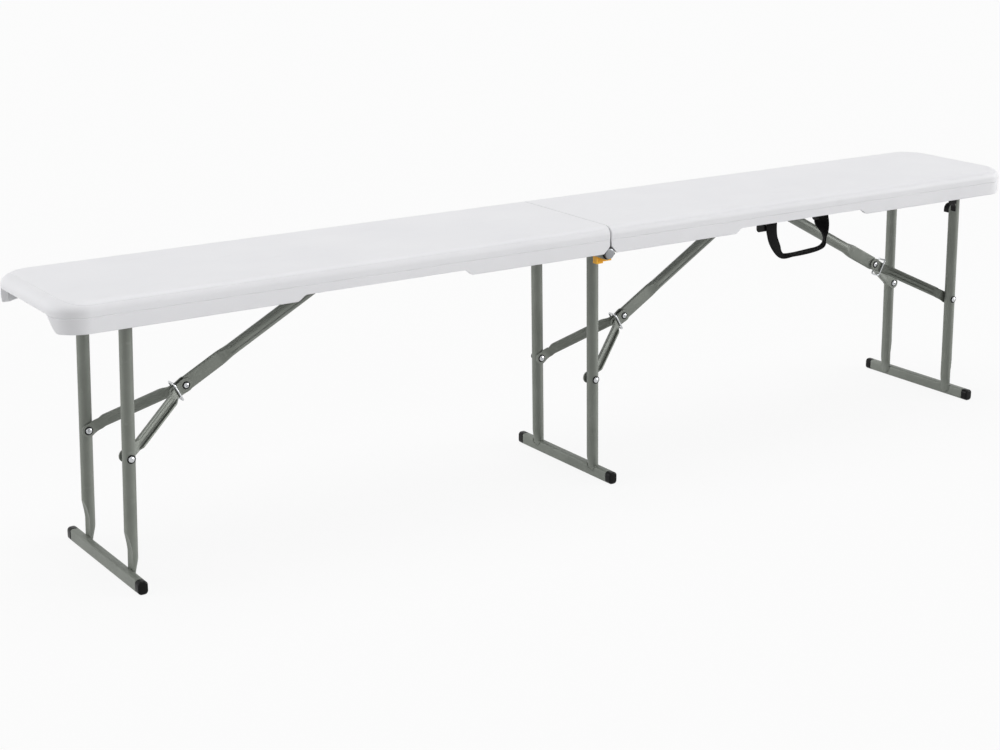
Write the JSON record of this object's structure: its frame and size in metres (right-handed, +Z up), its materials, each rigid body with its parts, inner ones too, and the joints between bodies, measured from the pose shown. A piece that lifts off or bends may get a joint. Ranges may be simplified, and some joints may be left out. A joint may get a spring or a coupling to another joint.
{
  "type": "folding bench",
  "caption": "Long bench with a moulded plastic seat that folds in half over three folding tube leg frames, with a carry strap.",
  "frame": {"origin": "on the floor under the middle of the bench, midway between the front and back edges and below the centre hinge", "axes": "+X along the seat to the right end, +Y to the back edge, +Z up"},
  "size_m": [1.83, 0.264, 0.43],
  "materials": {
    "moulded_plastic": "satin",
    "painted_steel": "hammered satin",
    "zinc_steel": "bright zinc",
    "black_plastic": "matte",
    "yellow_plastic": "satin",
    "black_webbing": "woven"
  },
  "bodies": {
    "hinge": {"hinge_rod": "zinc_steel", "hinge_cap": "zinc_steel"},
    "left_half": {"seat_left": "moulded_plastic", "rail_left_front": "painted_steel", "rail_left_back": "painted_steel", "hinge_plate_left_front": "painted_steel", "hinge_plate_left_back": "painted_steel", "brace_bracket_left": "painted_steel", "left_brace_bolt": "zinc_steel"},
    "right_half": {"seat_right": "moulded_plastic", "rail_right_front": "painted_steel", "rail_right_back": "painted_steel", "hinge_plate_right_front": "painted_steel", "hinge_plate_right_back": "painted_steel", "brace_bracket_right": "painted_steel", "mid_brace_bolt": "zinc_steel", "right_brace_bolt": "zinc_steel", "closing_clip": "black_plastic", "handle_anchor_left": "black_plastic", "handle_anchor_right": "black_plastic"},
    "left_leg": {"left_leg_tube_front": "painted_steel", "left_leg_tube_back": "painted_steel", "left_leg_rivet_front": "zinc_steel", "left_leg_rivet_back": "zinc_steel", "left_pivot_tube": "painted_steel", "left_foot_bar": "painted_steel", "left_foot_cap_front": "black_plastic", "left_foot_cap_back": "black_plastic"},
    "mid_leg": {"mid_leg_tube_front": "painted_steel", "mid_leg_tube_back": "painted_steel", "mid_leg_rivet_front": "zinc_steel", "mid_leg_rivet_back": "zinc_steel", "mid_foot_bar": "painted_steel", "mid_foot_cap_front": "black_plastic", "mid_foot_cap_back": "black_plastic"},
    "right_leg": {"right_leg_tube_front": "painted_steel", "right_leg_tube_back": "painted_steel", "right_leg_rivet_front": "zinc_steel", "right_leg_rivet_back": "zinc_steel", "right_pivot_tube": "painted_steel", "right_foot_bar": "painted_steel", "right_foot_cap_front": "black_plastic", "right_foot_cap_back": "black_plastic"},
    "left_brace": {"left_brace_tube": "painted_steel"},
    "mid_brace": {"mid_brace_tube": "painted_steel"},
    "right_brace": {"right_brace_tube": "painted_steel"},
    "left_arms": {"left_arm_front": "painted_steel", "left_arm_back": "painted_steel", "left_elbow_rivet": "zinc_steel"},
    "mid_arms": {"mid_arm_front": "painted_steel", "mid_arm_back": "painted_steel", "mid_elbow_rivet": "zinc_steel"},
    "right_arms": {"right_arm_front": "painted_steel", "right_arm_back": "painted_steel", "right_elbow_rivet": "zinc_steel"},
    "left_ring": {"left_lock_ring": "zinc_steel"},
    "mid_ring": {"mid_lock_ring": "zinc_steel"},
    "right_ring": {"right_lock_ring": "zinc_steel"},
    "lock": {"lock_slider": "yellow_plastic"},
    "handle": {"handle_strap": "black_webbing"}
  },
  "joints": [
    {"name": "bench_fold", "type": "hinge", "parent": "hinge", "child": "right_half", "pos_m": [0, 0, 0.386], "axis": [0, 1, 0], "range_deg": [0, 170]},
    {"name": "left_half_fold", "type": "hinge", "parent": "hinge", "child": "left_half", "pos_m": [0, 0, 0.386], "axis": [0, -1, 0], "range_deg": [0, 10]},
    {"name": "left_leg_fold", "type": "hinge", "parent": "left_half", "child": "left_leg", "pos_m": [-0.799, 0, 0.4085], "axis": [0, -1, 0], "range_deg": [0, 89.5]},
    {"name": "mid_leg_fold", "type": "hinge", "parent": "right_half", "child": "mid_leg", "pos_m": [0, 0, 0.386], "axis": [0, -1, 0], "range_deg": [0, 88.3]},
    {"name": "right_leg_fold", "type": "hinge", "parent": "right_half", "child": "right_leg", "pos_m": [0.825, 0, 0.4085], "axis": [0, 1, 0], "range_deg": [0, 89.5]},
    {"name": "left_brace_fold", "type": "hinge", "parent": "left_half", "child": "left_brace", "pos_m": [-0.397, 0, 0.4055], "axis": [0, 1, 0], "range_deg": [0, 27.31]},
    {"name": "mid_brace_fold", "type": "hinge", "parent": "right_half", "child": "mid_brace", "pos_m": [0.392, 0, 0.4055], "axis": [0, 1, 0], "range_deg": [0, 24.4]},
    {"name": "right_brace_fold", "type": "hinge", "parent": "right_half", "child": "right_brace", "pos_m": [0.423, 0, 0.4055], "axis": [0, -1, 0], "range_deg": [0, 27.31]},
    {"name": "left_elbow", "type": "hinge", "parent": "left_brace", "child": "left_arms", "pos_m": [-0.68071, 0, 0.2535], "axis": [0, -1, 0], "range_deg": [0, 178.87]},
    {"name": "mid_elbow", "type": "hinge", "parent": "mid_brace", "child": "mid_arms", "pos_m": [0.12341, 0, 0.24098], "axis": [0, -1, 0], "range_deg": [0, 180]},
    {"name": "right_elbow", "type": "hinge", "parent": "right_brace", "child": "right_arms", "pos_m": [0.70671, 0, 0.2535], "axis": [0, 1, 0], "range_deg": [0, 178.87]},
    {"name": "left_ring_slide", "type": "slide", "parent": "left_brace", "child": "left_ring", "axis": [0.8815, 0, 0.4723], "range_m": [0, 0.083]},
    {"name": "mid_ring_slide", "type": "slide", "parent": "mid_brace", "child": "mid_ring", "axis": [0.8527, 0, 0.5223], "range_m": [0, 0.083]},
    {"name": "right_ring_slide", "type": "slide", "parent": "right_brace", "child": "right_ring", "axis": [-0.8815, 0, 0.4723], "range_m": [0, 0.083]},
    {"name": "lock_slide", "type": "slide", "parent": "left_half", "child": "lock", "axis": [-1, 0, 0], "range_m": [0, 0.04]},
    {"name": "handle_swing", "type": "hinge", "parent": "right_half", "child": "handle", "pos_m": [0.4, -0.1183, 0.38915], "axis": [-1, 0, 0], "range_deg": [0, 90]}
  ],
  "couplings": [
    {"joint": "left_half_fold", "follows": "bench_fold", "ratio": 0.058823},
    {"joint": "left_leg_fold", "follows": "bench_fold", "ratio": 0.52647},
    {"joint": "mid_leg_fold", "follows": "bench_fold", "ratio": 0.51941},
    {"joint": "right_leg_fold", "follows": "bench_fold", "ratio": 0.52647},
    {"joint": "left_brace_fold", "follows": "bench_fold", "ratio": 0.16068},
    {"joint": "mid_brace_fold", "follows": "bench_fold", "ratio": 0.14355},
    {"joint": "right_brace_fold", "follows": "bench_fold", "ratio": 0.16068},
    {"joint": "left_elbow", "follows": "bench_fold", "ratio": 1.0522},
    {"joint": "mid_elbow", "follows": "bench_fold", "ratio": 1.0588},
    {"joint": "right_elbow", "follows": "bench_fold", "ratio": 1.0522},
    {"joint": "left_ring_slide", "follows": "bench_fold", "m_per_rad": 0.027964},
    {"joint": "mid_ring_slide", "follows": "bench_fold", "m_per_rad": 0.027964},
    {"joint": "right_ring_slide", "follows": "bench_fold", "m_per_rad": 0.027964},
    {"joint": "lock_slide", "follows": "bench_fold", "m_per_rad": 0.013479},
    {"joint": "handle_swing", "follows": "bench_fold", "ratio": 0.52941}
  ]
}
